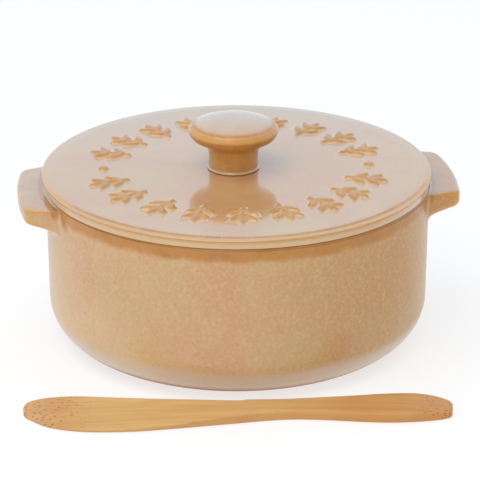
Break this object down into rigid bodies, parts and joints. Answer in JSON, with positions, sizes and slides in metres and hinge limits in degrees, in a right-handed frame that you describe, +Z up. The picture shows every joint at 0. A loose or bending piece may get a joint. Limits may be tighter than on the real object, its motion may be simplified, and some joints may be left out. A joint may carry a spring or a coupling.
{
  "type": "lidded stoneware baker",
  "caption": "Round glazed stoneware baking dish with lug handles, a knobbed lid with a ring of raised leaf sprigs, and a loose bamboo spreader.",
  "frame": {"origin": "centre of the pot's foot, on the surface it stands on", "axes": "+Z up through the pot, +X out through the right-hand lug handle, -Y towards the spreader in front"},
  "size_m": [0.1849, 0.1819, 0.0922],
  "materials": {
    "glazed_stoneware": "glossy reactive glaze, sandy cream with honey breaks on the edges",
    "bamboo": "fine straight grain, satin"
  },
  "bodies": {
    "pot": {"pot_body": "glazed_stoneware", "lug_handle_left": "glazed_stoneware", "lug_handle_right": "glazed_stoneware"},
    "lid": {"lid_plate": "glazed_stoneware", "lid_knob": "glazed_stoneware", "knob_collar": "glazed_stoneware", "leaf_sprig_01": "glazed_stoneware", "leaf_sprig_02": "glazed_stoneware", "leaf_sprig_03": "glazed_stoneware", "leaf_sprig_04": "glazed_stoneware", "leaf_sprig_05": "glazed_stoneware", "leaf_sprig_06": "glazed_stoneware", "leaf_sprig_07": "glazed_stoneware", "leaf_sprig_08": "glazed_stoneware", "leaf_sprig_09": "glazed_stoneware", "leaf_sprig_10": "glazed_stoneware", "leaf_sprig_11": "glazed_stoneware", "leaf_sprig_12": "glazed_stoneware", "leaf_sprig_13": "glazed_stoneware", "leaf_sprig_14": "glazed_stoneware", "leaf_sprig_15": "glazed_stoneware", "leaf_sprig_16": "glazed_stoneware", "leaf_sprig_17": "glazed_stoneware", "leaf_sprig_18": "glazed_stoneware", "boss_left": "glazed_stoneware", "boss_right": "glazed_stoneware"},
    "spreader": {"spreader": "bamboo"}
  },
  "joints": [
    {"name": "lid_lift", "type": "slide", "parent": "pot", "child": "lid", "axis": [0, 0, 1], "range_m": [0, 0.1]},
    {"name": "spreader_lift", "type": "slide", "parent": "pot", "child": "spreader", "axis": [0, 0, 1], "range_m": [0, 0.1]}
  ]
}
